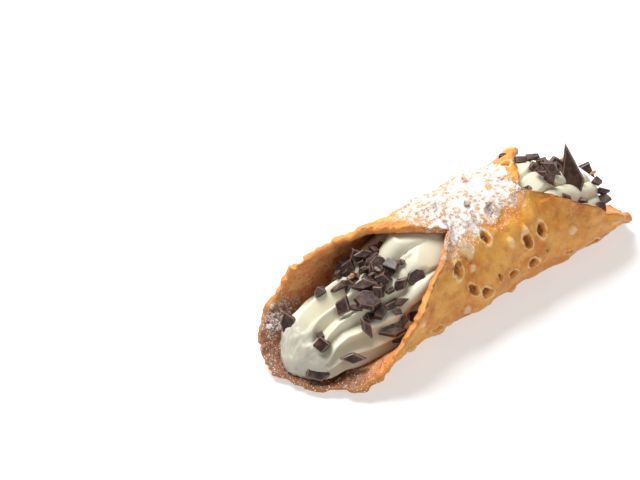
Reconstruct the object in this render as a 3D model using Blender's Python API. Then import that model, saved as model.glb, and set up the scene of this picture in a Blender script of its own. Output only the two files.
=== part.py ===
"""A filled cannolo: a fried pastry disc rolled into a tube with an oblique mouth at each end, a rope of
piped cream that runs through it and out of both mouths, and pieces of chopped chocolate set in the cream.

Metres, +Z up. +X runs along the tube from the wide front mouth to the back tongue. Angles round the tube
(turn) are measured from its lowest line, positive towards +Y."""

import math
import random

import bmesh
import bpy
from mathutils import Matrix, Vector, noise

MM = 0.001

# Middle of the whole piece seen from above, which becomes the origin
MIDDLE_X = 10.7 * MM
MIDDLE_Y = 0.38 * MM

# Pastry
OUTER_RADIUS = 17.5 * MM
WALL = 2.0 * MM
FLAT_DEPTH = 0.8 * MM
AXIS_HEIGHT = OUTER_RADIUS - FLAT_DEPTH
FRONT_TIP_X = -54 * MM
FRONT_NOTCH_X = -2 * MM
BACK_TIP_X = 75 * MM
BACK_NOTCH_X = 25 * MM
FRONT_TIP_TURN = math.radians(18)
BACK_TIP_TURN = math.radians(-27)
NOTCH_TURN = math.radians(-154)
RIM_POWER = 1.45
FRONT_FLARE = 0.11
BACK_FLARE = 0.1
TIP_LIFT = 1.4 * MM
TIP_LIFT_LENGTH = 26 * MM
LAP_TURN = math.radians(42)
LAP_STEP = 1.3 * MM
LAP_FADE = math.radians(75)
RIM_RIPPLE = 0.7 * MM
WALL_RIPPLE = 0.35 * MM
BLISTERS = 26
BLISTER_RADIUS = 4.5 * MM
BLISTER_HEIGHT = 0.8 * MM
# How far the near side of the front lip bends outward, and where
LIP_CURL = 1.6 * MM
CURL_TURN = math.radians(-58)
CURL_SPREAD = math.radians(48)
CURL_DEPTH = 4.5 * MM
CURL_TUBE_LENGTH = 110 * MM
SHELL_STEPS_ROUND = 60
SHELL_STEPS_OUTSIDE = 26
SHELL_STEPS_INSIDE = 14

# Cream
FIT_GAP = 0.4 * MM
CREAM_FRONT_X = -51.5 * MM
CREAM_BACK_X = 71 * MM
CREAM_SHIFT = 2.4 * MM
CREAM_LOBES = 9
CREAM_LOBE_DEPTH = 0.13
CREAM_TWIST = math.radians(70)
CREAM_STEPS_ROUND = 54
CREAM_STEPS_ALONG = 30

# Chocolate
CHIP_BEVEL = 0.25 * MM
POCKET_GAP = 0.3 * MM
# Each piece: x and turn from the top of the rope, how far out its middle is, the side its face looks to
# (round from the front, and up), the roll of its long side, then length, width, thickness and corners.
CHIPS = {
    "chip_lip_far": (-43.8, 60, 1.2, -50, 35, -70, 8.2, 4.6, 1.6, 6),
    "chip_lip_block": (-44, -44, 0.8, -58, 35, 20, 5.2, 4.8, 2.6, 4),
    "chip_lip_near": (-46, -92, 1.4, -35, 45, -12, 7.2, 5.0, 1.7, 5),
    "chip_near_long": (-38.3, -82, 1.1, -41, 30, -5, 7.8, 3.2, 1.6, 4),
    "chip_mouth_tile": (-34.8, -16, 1.2, -60, 30, 80, 6.6, 5.0, 1.8, 4),
    "chip_almond": (-28.8, -25, 1.9, -30, 64, -18, 8.2, 5.2, 2.0, 6),
    "chip_edge_on": (-32.8, -54, 1.4, -20, 20, -68, 7.6, 2.8, 2.0, 4),
    "chip_near_plate": (-26, -78, 1.3, -41, 60, 6, 8.4, 4.0, 1.9, 4),
    "chip_standing": (-20.2, -33, 1.5, -58, 22, 58, 6.4, 3.6, 1.7, 4),
    "chip_round": (-15.6, -37, 1.5, -30, 30, 40, 5.4, 5.0, 1.8, 7),
    "chip_chunk": (-21, -6, 1.4, -41, 50, -10, 5.6, 4.8, 3.0, 6),
    "chip_far_tall": (-24, 50, 1.4, -60, 20, 70, 6.2, 4.2, 1.9, 4),
    "chip_far_bar": (-20.7, 20, 1.6, -35, 45, 8, 7.2, 2.8, 2.2, 4),
    "chip_near_wall": (-19.5, -75, 0.6, -80, 25, 62, 6.2, 3.2, 1.8, 4),
    "shard": (50, -20, 3.6, -45, 14, 90, 16.6, 7.4, 1.5, 4),
    "chip_back_long": (43.6, -12, 1.6, -35, 40, -35, 8.0, 3.4, 1.7, 4),
    "chip_back_block": (53, 14, 1.6, -41, 30, 20, 4.8, 4.2, 2.6, 4),
    "chip_back_spike": (63, -12, 2.4, -41, 20, -50, 6.6, 3.6, 1.4, 3),
}

# A shape that is known corner by corner: mm up the piece, mm to its left.
OUTLINES = {"shard": [(8.5, 2.6), (-4.4, 3.1), (-8.5, -2.2), (-3.4, -3.1)]}

PASTRY_COLOUR = (0.62, 0.33, 0.12, 1.0)
CREAM_COLOUR = (0.87, 0.82, 0.64, 1.0)
CHOCOLATE_COLOUR = (0.055, 0.026, 0.018, 1.0)


def mix(a, b, share):
    return a + (b - a) * share


def smooth(low, high, value):
    """0 below low, 1 above high, with an even curve between."""
    share = min(1.0, max(0.0, (value - low) / (high - low)))
    return share * share * (3 - 2 * share)


def material(name, colour, roughness):
    made = bpy.data.materials.new(name)
    made.use_nodes = True
    shader = made.node_tree.nodes["Principled BSDF"]
    shader.inputs["Base Color"].default_value = colour
    shader.inputs["Roughness"].default_value = roughness
    shader.inputs["Metallic"].default_value = 0.0
    return made


def add_object(name, mesh, finish, parent):
    made = bpy.data.objects.new(name, mesh)
    made.data.materials.append(finish)
    made.parent = parent
    bpy.context.scene.collection.objects.link(made)
    return made


def mesh_from(name, points, faces):
    """A mesh whose faces all point outwards."""
    mesh = bpy.data.meshes.new(name)
    mesh.from_pydata(points, [], faces)
    body = bmesh.new()
    body.from_mesh(mesh)
    bmesh.ops.recalc_face_normals(body, faces=body.faces)
    body.to_mesh(mesh)
    body.free()
    return mesh


# ---- Pastry ----


def share_to_notch(turn, tip_turn):
    """0 at the lip's tip and 1 at the notch where the two flaps meet, going round either way."""
    if turn >= tip_turn:
        return (turn - tip_turn) / (NOTCH_TURN + 2 * math.pi - tip_turn)
    return (tip_turn - turn) / (tip_turn - NOTCH_TURN)


def rim_ripple(turn, phase):
    return RIM_RIPPLE * (math.sin(5 * turn + phase) + 0.6 * math.sin(11 * turn + 2 * phase))


def front_rim_x(turn):
    share = share_to_notch(turn, FRONT_TIP_TURN)
    return mix(FRONT_TIP_X, FRONT_NOTCH_X, share**RIM_POWER) + rim_ripple(turn, 0.7)


def back_rim_x(turn):
    share = share_to_notch(turn, BACK_TIP_TURN)
    return mix(BACK_TIP_X, BACK_NOTCH_X, share**RIM_POWER) + rim_ripple(turn, 2.1)


def side_flare(x):
    """How much wider the tube is where its mouths spread."""
    front = FRONT_FLARE * smooth(-FRONT_NOTCH_X, -FRONT_TIP_X, -x)
    back = BACK_FLARE * smooth(BACK_NOTCH_X, BACK_TIP_X, x)
    return 1 + front + back


def tip_lift(x):
    """The lips rise a little off the ground towards their tips."""
    front = smooth(0, TIP_LIFT_LENGTH, FRONT_TIP_X + TIP_LIFT_LENGTH - x)
    back = smooth(0, TIP_LIFT_LENGTH, x - BACK_TIP_X + TIP_LIFT_LENGTH)
    return TIP_LIFT * (front + back)


def tube_point(x, turn, radius, lowest):
    """A point of the tube, flattened where it would pass below the lowest height."""
    y = radius * math.sin(turn) * side_flare(x)
    z = AXIS_HEIGHT - radius * math.cos(turn)
    return Vector((x, y, max(z, lowest) + tip_lift(x)))


def blister_centres():
    """Places of the larger blisters, spread evenly over the outside by a golden-angle spiral."""
    golden = math.pi * (3 - math.sqrt(5))
    for i in range(BLISTERS):
        turn = (i * golden) % (2 * math.pi) - math.pi
        x = mix(FRONT_TIP_X, BACK_TIP_X, (i + 0.5) / BLISTERS)
        yield x, turn


def blister_rise(x, turn, centres):
    rise = 0.0
    for centre_x, centre_turn in centres:
        apart = math.remainder(turn - centre_turn, 2 * math.pi) * OUTER_RADIUS
        distance = math.hypot(x - centre_x, apart) / BLISTER_RADIUS
        if distance < 1:
            rise = max(rise, BLISTER_HEIGHT * (1 - distance * distance) ** 2)
    return rise


def shell_turn(round_share, along_share):
    """The lines round the tube start and end on the outer flap's free edge, which bows past the notches."""
    bow = LAP_TURN * math.sqrt(max(0.0, 4 * along_share * (1 - along_share)))
    pull = 1 - smooth(0.0, 0.3, min(round_share, 1 - round_share))
    return NOTCH_TURN + 2 * math.pi * round_share - bow * pull


def shell_x(turn, along_share):
    """Past the notches the outer flap's free edge runs on at the notch's own place along the tube."""
    wrapped = turn if turn >= NOTCH_TURN else NOTCH_TURN + 2 * math.pi
    return mix(front_rim_x(wrapped), back_rim_x(wrapped), along_share)


def near_lip_curl(turn, along_share):
    """The near side of the front lip bends outward, most at its very edge."""
    around = (math.remainder(turn, 2 * math.pi) - CURL_TURN) / CURL_SPREAD
    from_edge = along_share * CURL_TUBE_LENGTH / CURL_DEPTH
    return LIP_CURL * math.exp(-around * around) * math.exp(-from_edge * from_edge)


def outside_point(round_share, along_share, centres):
    turn = shell_turn(round_share, along_share)
    x = shell_x(turn, along_share)
    past_edge = 2 * math.pi * round_share
    lap = LAP_STEP * (1 - smooth(0.0, LAP_FADE, past_edge))
    ripple = WALL_RIPPLE * noise.noise(Vector((x * 90, math.sin(turn) * 1.6, math.cos(turn) * 1.6)))
    up_wall = smooth(0.0, 0.3, 1 - math.cos(turn))
    rise = ripple + blister_rise(x, turn, centres) + near_lip_curl(turn, along_share)
    radius = OUTER_RADIUS + lap + up_wall * rise
    return tube_point(x, turn, radius, 0.0)


def inside_point(round_share, along_share):
    turn = shell_turn(round_share, along_share)
    radius = OUTER_RADIUS - WALL + near_lip_curl(turn, along_share)
    return tube_point(shell_x(turn, along_share), turn, radius, WALL)


def make_shell(parent, finish):
    """The rolled disc: an outside that steps where one flap laps the other, a plain inside, and two rims."""
    steps = SHELL_STEPS_ROUND
    centres = list(blister_centres())
    points = []
    faces = []
    for j in range(SHELL_STEPS_OUTSIDE + 1):
        for i in range(steps + 1):
            points.append(outside_point(i / steps, j / SHELL_STEPS_OUTSIDE, centres))
    inside_start = len(points)
    for j in range(SHELL_STEPS_INSIDE + 1):
        for i in range(steps):
            points.append(inside_point(i / steps, j / SHELL_STEPS_INSIDE))

    def outside(i, j):
        return j * (steps + 1) + i

    def inside(i, j):
        return inside_start + j * steps + i % steps

    for j in range(SHELL_STEPS_OUTSIDE):
        for i in range(steps):
            faces.append((outside(i, j), outside(i + 1, j), outside(i + 1, j + 1), outside(i, j + 1)))
        faces.append((outside(steps, j), outside(0, j), outside(0, j + 1), outside(steps, j + 1)))
    for j in range(SHELL_STEPS_INSIDE):
        for i in range(steps):
            faces.append((inside(i, j), inside(i, j + 1), inside(i + 1, j + 1), inside(i + 1, j)))
    for outside_row, inside_row in ((0, 0), (SHELL_STEPS_OUTSIDE, SHELL_STEPS_INSIDE)):
        for i in range(steps):
            rim = (outside(i, outside_row), outside(i + 1, outside_row))
            faces.append((*rim, inside(i + 1, inside_row), inside(i, inside_row)))
        faces.append((outside(steps, outside_row), outside(0, outside_row), inside(0, inside_row)))
    return add_object("shell", mesh_from("shell", points, faces), finish, parent)


# ---- Cream ----


def cream_middle(x):
    """Centre of the rope at x: on the tube's axis inside, sinking on to the lip at each end, and off to the far side."""
    front = 10 * MM * smooth(0, 44 * MM, -x) + 2.5 * MM * smooth(40 * MM, -CREAM_FRONT_X, -x)
    back = 8 * MM * smooth(34 * MM, 66 * MM, x) + 2.5 * MM * smooth(60 * MM, CREAM_BACK_X, x)
    return Vector((x, CREAM_SHIFT * smooth(18 * MM, 42 * MM, -x), AXIS_HEIGHT - front - back + tip_lift(x)))


def nose(distance, length, power):
    """0 at the very end of the rope, rising to 1 over its nose."""
    return math.sin(math.pi / 2 * min(1.0, distance / length)) ** power


def cream_radius(x):
    """Full inside the tube, thinner along each mouth, then a rounded nose smeared on the lip."""
    full = OUTER_RADIUS - 0.5 * WALL
    front = x - CREAM_FRONT_X
    back = CREAM_BACK_X - x
    front_radius = mix(9.4 * MM, full, min(1.0, front / (44 * MM)))
    back_radius = mix(9 * MM, full, min(1.0, back / (36 * MM)))
    return min(front_radius * nose(front, 14 * MM, 0.75), back_radius * nose(back, 12 * MM, 0.65))


def inner_wall_distance(middle, direction, x):
    """How far the pastry's inside is from the rope's centre in that direction across the tube."""
    flare = side_flare(x)
    radius = OUTER_RADIUS - WALL
    start_y, start_z = middle.y / flare, middle.z - AXIS_HEIGHT - tip_lift(x)
    step_y, step_z = direction.y / flare, direction.z
    a = step_y**2 + step_z**2
    b = start_y * step_y + start_z * step_z
    c = start_y**2 + start_z**2 - radius**2
    reach = (-b + math.sqrt(max(0.0, b * b - a * c))) / a
    if direction.z < 0:
        floor = WALL + tip_lift(x)
        reach = min(reach, (middle.z - floor) / -direction.z)
    return reach


def cream_point(x, turn):
    """A point of the star-shaped rope. turn runs from its top, positive towards +Y."""
    middle = cream_middle(x)
    direction = Vector((0.0, math.sin(turn), math.cos(turn)))
    twist = CREAM_TWIST * (x - CREAM_FRONT_X) / (CREAM_BACK_X - CREAM_FRONT_X)
    lobe = abs(math.cos(CREAM_LOBES * (turn + twist) / 2))
    rope = cream_radius(x) * (1 - CREAM_LOBE_DEPTH * (1 - lobe) ** 1.5)
    wall = inner_wall_distance(middle, direction, x) - FIT_GAP
    return middle + direction * min(rope, wall)


def make_cream(parent, finish):
    points = []
    faces = []
    steps = CREAM_STEPS_ROUND
    for j in range(1, CREAM_STEPS_ALONG):
        share = (1 - math.cos(math.pi * j / CREAM_STEPS_ALONG)) / 2
        x = mix(CREAM_FRONT_X, CREAM_BACK_X, share)
        for i in range(steps):
            points.append(cream_point(x, 2 * math.pi * i / steps))
    rows = CREAM_STEPS_ALONG - 1
    for j in range(rows - 1):
        for i in range(steps):
            after = (i + 1) % steps
            faces.append((j * steps + i, j * steps + after, (j + 1) * steps + after, (j + 1) * steps + i))
    for x, row in ((CREAM_FRONT_X, 0), (CREAM_BACK_X, rows - 1)):
        nose = len(points)
        points.append(cream_middle(x))
        for i in range(steps):
            faces.append((nose, row * steps + i, row * steps + (i + 1) % steps))
    return add_object("cream", mesh_from("cream", points, faces), finish, parent)


# ---- Chocolate ----


def chip_mesh(name, length, width, thickness, corners, grow):
    """A broken plate of chocolate: an uneven polygon with slanted sides, or the pocket round it if grown."""
    chance = random.Random(name)
    ring = []
    for k in range(corners):
        angle = 2 * math.pi * (k + chance.uniform(-0.12, 0.12)) / corners
        reach = chance.uniform(0.84, 1.0)
        ring.append(Vector((math.cos(angle) * reach, math.sin(angle) * reach)))
    if name in OUTLINES:
        ring = [Vector(corner) * MM for corner in OUTLINES[name]]
    for axis, size in ((0, length), (1, width)):
        low_end = min(corner[axis] for corner in ring)
        high_end = max(corner[axis] for corner in ring)
        for corner in ring:
            corner[axis] = size * ((corner[axis] - low_end) / (high_end - low_end) - 0.5)
    body = bmesh.new()
    low = [body.verts.new((x, y, -thickness / 2)) for x, y in ring]
    high = []
    for x, y in ring:
        slant = chance.uniform(0.8, 0.97)
        high.append(body.verts.new((x * slant, y * slant, thickness / 2)))
    body.faces.new(low)
    body.faces.new(high)
    for k in range(corners):
        after = (k + 1) % corners
        body.faces.new((low[k], low[after], high[after], high[k]))
    bmesh.ops.recalc_face_normals(body, faces=body.faces)
    if grow:
        for vert in body.verts:
            vert.co += vert.co.normalized() * grow
            vert.co.z += math.copysign(grow, vert.co.z)
    else:
        bmesh.ops.bevel(body, geom=list(body.edges), offset=CHIP_BEVEL, segments=1, affect="EDGES")
    mesh = bpy.data.meshes.new(name)
    body.to_mesh(mesh)
    body.free()
    return mesh


def cream_out(x, turn):
    """The direction out of the rope's surface."""
    step = 0.5 * MM
    along = cream_point(x + step, turn) - cream_point(x - step, turn)
    across = cream_point(x, turn + 0.04) - cream_point(x, turn - 0.04)
    return along.cross(across).normalized()


def chip_place(x, turn, out, look_round, look_up, roll):
    """Where a piece sits on the rope, its face turned to one side and its long side rolled from level."""
    middle = cream_point(x, turn) + cream_out(x, turn) * out
    right = Vector((math.cos(look_round), math.sin(look_round), 0.0))
    level = Vector((math.sin(look_round), -math.cos(look_round), 0.0))
    face = level * math.cos(look_up) + Vector((0.0, 0.0, math.sin(look_up)))
    up = face.cross(right)
    long_side = right * math.cos(roll) + up * math.sin(roll)
    turned = Matrix((long_side, face.cross(long_side), face)).transposed().to_4x4()
    return Matrix.Translation(middle) @ turned


def make_chips(parent, finish, cream):
    for name, values in CHIPS.items():
        x, turn, out, look_round, look_up, roll, length, width, thickness, corners = values
        angles = [math.radians(angle) for angle in (look_round, look_up, roll)]
        place = chip_place(x * MM, math.radians(turn), out * MM, *angles)
        size = (length * MM, width * MM, thickness * MM, corners)
        chip = add_object(name, chip_mesh(name, *size, 0.0), finish, parent)
        chip.matrix_world = place
        pocket = bpy.data.objects.new(name + "_pocket", chip_mesh(name, *size, POCKET_GAP))
        bpy.context.scene.collection.objects.link(pocket)
        pocket.parent = parent
        pocket.matrix_world = place
        pocket.hide_render = True
        pocket.display_type = "WIRE"
        cut = cream.modifiers.new(name, "BOOLEAN")
        cut.object = pocket
        cut.operation = "DIFFERENCE"
        cut.solver = "EXACT"


def clear_scene():
    for old in list(bpy.data.objects):
        bpy.data.objects.remove(old, do_unlink=True)


def main():
    clear_scene()
    cannolo = bpy.data.objects.new("cannolo", None)
    bpy.context.scene.collection.objects.link(cannolo)
    make_shell(cannolo, material("pastry", PASTRY_COLOUR, 0.6))
    cream = make_cream(cannolo, material("cream", CREAM_COLOUR, 0.4))
    make_chips(cannolo, material("chocolate", CHOCOLATE_COLOUR, 0.45), cream)
    cannolo.location = (-MIDDLE_X, -MIDDLE_Y, 0.0)


main()
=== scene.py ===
# %% [markdown]
# # A filled cannolo
# A cannolo is a disc of fried dough rolled round a tube, filled from both ends with piped cream, then dressed
# with chopped chocolate and powdered sugar. The solid model already has the right size and place for each
# piece. Here each piece gets its real surface: blisters in the crust, lobes in the cream, broken edges on the
# chocolate, and loose sugar. All lengths are in metres; MM turns millimetres into metres.

# %% Load the solid model
import math
import random

import bmesh
import bpy
import numpy as np
from mathutils import Matrix, Vector, noise


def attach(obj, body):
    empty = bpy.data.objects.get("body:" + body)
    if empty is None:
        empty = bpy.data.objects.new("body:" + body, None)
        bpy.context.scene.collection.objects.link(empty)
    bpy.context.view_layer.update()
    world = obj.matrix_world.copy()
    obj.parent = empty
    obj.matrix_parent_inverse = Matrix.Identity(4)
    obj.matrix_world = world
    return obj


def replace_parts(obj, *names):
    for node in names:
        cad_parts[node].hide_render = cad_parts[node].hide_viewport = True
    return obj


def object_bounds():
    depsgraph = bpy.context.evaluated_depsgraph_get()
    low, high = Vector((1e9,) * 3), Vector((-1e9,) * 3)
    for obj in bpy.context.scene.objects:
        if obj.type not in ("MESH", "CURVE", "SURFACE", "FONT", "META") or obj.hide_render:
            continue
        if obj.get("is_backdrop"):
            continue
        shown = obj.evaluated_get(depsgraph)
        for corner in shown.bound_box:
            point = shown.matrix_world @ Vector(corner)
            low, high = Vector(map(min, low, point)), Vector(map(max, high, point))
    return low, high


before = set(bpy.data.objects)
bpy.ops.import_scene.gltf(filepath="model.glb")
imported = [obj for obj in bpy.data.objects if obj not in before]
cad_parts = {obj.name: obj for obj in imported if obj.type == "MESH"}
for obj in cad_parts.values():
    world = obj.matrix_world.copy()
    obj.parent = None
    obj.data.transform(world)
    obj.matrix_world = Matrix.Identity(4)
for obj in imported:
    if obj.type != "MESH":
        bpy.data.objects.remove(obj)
cad_low, cad_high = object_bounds()
print("solid model:", [round(size * 1000, 1) for size in cad_high - cad_low], "mm")

MM = 0.001
# The middle of the whole piece in the tube's own coordinates, which start nearer the front mouth.
MIDDLE = np.array([10.7, 0.38, 0.0]) * MM

# %% [markdown]
# ## Small helpers
# Blender ships with numpy, which works on all the points of a mesh at once. Easing curves and noise are used
# by every piece, so they come first. Noise gives the same value at the same place every time, so a mesh made
# from it never changes between runs.

# %% Helpers for shapes


def mix(a, b, share):
    return a + (b - a) * share


def smooth(low, high, value):
    """0 below low, 1 above high, with an even curve between. Works on numbers and on arrays."""
    share = np.clip((value - low) / (high - low), 0.0, 1.0)
    return share * share * (3 - 2 * share)


def hump(distance, width):
    """A bell: 1 at no distance, falling away over the width."""
    return np.exp(-((distance / width) ** 2))


SEED_STEP = 17.3


def lumps(points, size, seed=0.0):
    """Noise from -1 to 1 at each point, with lumps about as large as size."""
    return np.array([noise.noise(point) for point in (points / size + seed * SEED_STEP).tolist()])


def grid_faces(rows, columns, ring=False):
    """Four-sided faces of points listed row by row. Columns join up all round; in a ring, rows do too."""
    row = np.arange(rows if ring else rows - 1)[:, None]
    column = np.arange(columns)[None, :]
    low = row * columns
    high = (row + 1) % rows * columns
    after = (column + 1) % columns
    return np.stack([low + column, low + after, high + after, high + column], -1).reshape(-1, 4)


def add_mesh(name, points, faces, finish):
    """A smooth-shaded object from points and faces, with all its faces turned outwards."""
    mesh = bpy.data.meshes.new(name)
    mesh.from_pydata(np.asarray(points).tolist(), [], [list(map(int, face)) for face in faces])
    shape = bmesh.new()
    shape.from_mesh(mesh)
    bmesh.ops.recalc_face_normals(shape, faces=shape.faces)
    shape.to_mesh(mesh)
    shape.free()
    mesh.materials.append(finish.material)
    mesh.polygons.foreach_set("use_smooth", [True] * len(mesh.polygons))
    piece = bpy.data.objects.new(name, mesh)
    bpy.context.scene.collection.objects.link(piece)
    return piece


def add_values(piece, **values):
    """Stores one number per point under each name, for the material to read."""
    for name, numbers in values.items():
        layer = piece.data.attributes.new(name, "FLOAT", "POINT")
        layer.data.foreach_set("value", np.asarray(numbers, dtype=np.float32))


def count_triangles(piece):
    return sum(len(face.vertices) - 2 for face in piece.data.polygons)


# %% [markdown]
# ## Shader maths written as Python
# A material is a graph of nodes. Written out node by node it is long and hard to read, so a small class wraps
# one output socket and adds a Math node for each +, - and * used on it. Colours are mixed with Mix nodes,
# because a Math node would turn them grey.

# %% Wrap sockets so that expressions build nodes


class Value:
    def __init__(self, tree, socket):
        self.tree = tree
        self.socket = socket

    def combine(self, operation, other):
        node = self.tree.nodes.new("ShaderNodeMath")
        node.operation = operation
        join(self, node.inputs[0])
        join(other, node.inputs[1])
        return Value(self.tree, node.outputs[0])

    def __add__(self, other):
        return self.combine("ADD", other)

    def __sub__(self, other):
        return self.combine("SUBTRACT", other)

    def __mul__(self, other):
        return self.combine("MULTIPLY", other)


def join(given, socket):
    """Feeds a socket from another node's output, or sets it to a constant."""
    if isinstance(given, Value):
        given.tree.links.new(given.socket, socket)
    else:
        socket.default_value = given


class Finish:
    """A Principled material and the nodes that feed it."""

    def __init__(self, name, **constants):
        self.material = bpy.data.materials.new(name)
        self.material.use_nodes = True
        self.tree = self.material.node_tree
        self.shader = self.tree.nodes["Principled BSDF"]
        for socket, constant in constants.items():
            self.shader.inputs[socket.replace("_", " ")].default_value = constant
        self.place = self.node("ShaderNodeTexCoord", out="Object")

    def node(self, kind, settings=None, out=0, **inputs):
        made = self.tree.nodes.new(kind)
        for name, setting in (settings or {}).items():
            setattr(made, name, setting)
        for name, given in inputs.items():
            join(given, made.inputs[name.replace("_", " ")])
        return Value(self.tree, made.outputs[out])

    def attribute(self, name):
        return self.node("ShaderNodeAttribute", {"attribute_name": name}, out="Fac")

    def noise(self, size, detail=2.0, roughness=0.5, distortion=0.0):
        """Noise from 0 to 1 whose lumps are about as large as size, in metres."""
        inputs = {"Vector": self.place, "Scale": 1 / size, "Detail": detail, "Roughness": roughness}
        return self.node("ShaderNodeTexNoise", out="Fac", Distortion=distortion, **inputs)

    def step(self, value, low, high):
        """0 below low and 1 above high, with an even curve between."""
        settings = {"interpolation_type": "SMOOTHSTEP"}
        return self.node("ShaderNodeMapRange", settings, Value=value, From_Min=low, From_Max=high)

    def blend(self, share, first, second):
        """A colour between two colours."""
        made = self.tree.nodes.new("ShaderNodeMix")
        made.data_type = "RGBA"
        for place, given in ((0, share), (6, first), (7, second)):
            join(given, made.inputs[place])
        return Value(self.tree, made.outputs[2])

    def feed(self, **inputs):
        for name, value in inputs.items():
            self.tree.links.new(value.socket, self.shader.inputs[name.replace("_", " ")])

    def bump(self, height, distance, strength=1.0):
        made = self.node("ShaderNodeBump", out="Normal", Height=height, Distance=distance, Strength=strength)
        self.feed(Normal=made)


def paint(red, green, blue):
    """A colour given as a screen shows it, from 0 to 255, turned into the light that it reflects."""
    shares = [part / 255 for part in (red, green, blue)]
    light = [s / 12.92 if s <= 0.04045 else ((s + 0.055) / 1.055) ** 2.4 for s in shares]
    return (*light, 1.0)


# %% [markdown]
# ## Camera, floor and light
# The camera comes first, round from the front mouth and looking down at the tube. The floor is plain and
# pale, with a large soft light above and behind on the left, so the sugar is bright and a soft shadow falls
# to the front right, and a weaker one in front.

# %% Camera
CAMERA_ROUND = math.radians(-41.3)
CAMERA_UP = math.radians(36)
CAMERA_DISTANCE = 0.5
CAMERA_AIM = Vector((0, 47.55, -1.45)) * MM - Vector(MIDDLE)

level = math.cos(CAMERA_UP)
back = Vector((math.sin(CAMERA_ROUND) * level, -math.cos(CAMERA_ROUND) * level, math.sin(CAMERA_UP)))
right = Vector((math.cos(CAMERA_ROUND), math.sin(CAMERA_ROUND), 0))
up = back.cross(right)

camera_data = bpy.data.cameras.new("camera")
camera_data.lens = 92.1
camera_data.clip_start = 0.01
camera = bpy.data.objects.new("camera", camera_data)
camera.matrix_world = Matrix.Translation(CAMERA_AIM + back * CAMERA_DISTANCE) @ Matrix(
    (right, up, back)
).transposed().to_4x4()
bpy.context.scene.collection.objects.link(camera)
bpy.context.scene.camera = camera
print("camera at", [round(c, 3) for c in camera.matrix_world.translation])

# %% Floor and lights
floor_finish = Finish(
    "floor",
    Base_Color=(0.56, 0.56, 0.56, 1),
    Roughness=0.8,
    Specular_IOR_Level=0.1,
    Emission_Strength=1.0,
)
# The floor looks white to the camera and lights the crust from below with less than that.
seen_by_camera = floor_finish.node("ShaderNodeLightPath", out="Is Camera Ray")
floor_glow = floor_finish.blend(seen_by_camera, (0.3, 0.3, 0.3, 1), (0.51, 0.51, 0.51, 1))
floor_finish.feed(Emission_Color=floor_glow)
FLOOR_HALF = 4.0
signs = ((-1, -1), (1, -1), (1, 1), (-1, 1))
corners = [(x * FLOOR_HALF, y * FLOOR_HALF, 0) for x, y in signs]
floor = add_mesh("floor", corners, [(0, 1, 2, 3)], floor_finish)
floor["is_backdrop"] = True

sky = bpy.data.worlds.new("sky")
sky.use_nodes = True
sky.node_tree.nodes["Background"].inputs["Color"].default_value = (1, 1, 1, 1)
sky.node_tree.nodes["Background"].inputs["Strength"].default_value = 0.22
bpy.context.scene.world = sky
bpy.context.scene.view_settings.view_transform = "Standard"


def add_light(name, place, size, power):
    """A square soft light that looks at the middle of the tube."""
    data = bpy.data.lights.new(name, "AREA")
    data.size = size
    data.energy = power
    light = bpy.data.objects.new(name, data)
    light.location = place
    light.rotation_euler = (Vector((0, 0, 0.015)) - light.location).to_track_quat("-Z", "Y").to_euler()
    bpy.context.scene.collection.objects.link(light)


add_light("soft_key", Vector((-0.05, 0.36, 0.86)), 0.5, 13.0)
add_light("soft_fill", Vector((-0.1, -0.8, 0.5)), 0.6, 1.6)

# %% [markdown]
# ## The tube's shape
# The crust is a disc rolled into a tube, so each mouth is cut at a slant: the lip's tip is low and far out,
# and the two flaps meet in a notch on top. These few functions hold that shape, in the tube's own
# coordinates. A turn is an angle round the tube from its lowest line, positive towards +Y. The same functions
# place the crust, its blisters, the sugar and the limits of the cream.

# %% Tube functions
OUTER_RADIUS = 17.5 * MM
WALL = 2.0 * MM
AXIS_HEIGHT = 16.7 * MM
FRONT_TIP_X = -54 * MM
FRONT_NOTCH_X = -2 * MM
BACK_TIP_X = 75 * MM
BACK_NOTCH_X = 25 * MM
FRONT_TIP_TURN = math.radians(18)
BACK_TIP_TURN = math.radians(-27)
NOTCH_TURN = math.radians(-154)
FULL_TURN = 2 * math.pi
RIM_POWER = 1.45
FRONT_FLARE = 0.11
BACK_FLARE = 0.10
TIP_LIFT = 1.4 * MM
TIP_LIFT_LENGTH = 26 * MM
LAP_TURN = math.radians(42)
LAP_STEP = 1.3 * MM
LAP_FADE = math.radians(75)
RIM_RIPPLE = 0.7 * MM


def rim_x(turn, tip_x, notch_x, tip_turn, phase):
    """Where one mouth's edge is at each turn, from the notch round to the notch again."""
    past = (turn - tip_turn) / (NOTCH_TURN + FULL_TURN - tip_turn)
    before = (tip_turn - turn) / (tip_turn - NOTCH_TURN)
    share = np.clip(np.where(turn >= tip_turn, past, before), 0, 1)
    ripple = RIM_RIPPLE * (np.sin(5 * turn + phase) + 0.6 * np.sin(11 * turn + 2 * phase))
    return mix(tip_x, notch_x, share**RIM_POWER) + ripple


def front_rim(turn):
    return rim_x(turn, FRONT_TIP_X, FRONT_NOTCH_X, FRONT_TIP_TURN, 0.7)


def back_rim(turn):
    return rim_x(turn, BACK_TIP_X, BACK_NOTCH_X, BACK_TIP_TURN, 2.1)


def side_flare(x):
    front = FRONT_FLARE * smooth(-FRONT_NOTCH_X, -FRONT_TIP_X, -x)
    return 1 + front + BACK_FLARE * smooth(BACK_NOTCH_X, BACK_TIP_X, x)


def tip_lift(x):
    front = smooth(0, TIP_LIFT_LENGTH, FRONT_TIP_X + TIP_LIFT_LENGTH - x)
    return TIP_LIFT * (front + smooth(0, TIP_LIFT_LENGTH, x - BACK_TIP_X + TIP_LIFT_LENGTH))


def tube_points(x, turn, radius, lowest):
    y = radius * np.sin(turn) * side_flare(x)
    z = np.maximum(AXIS_HEIGHT - radius * np.cos(turn), lowest) + tip_lift(x)
    return np.stack([x, y, z], -1)


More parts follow.
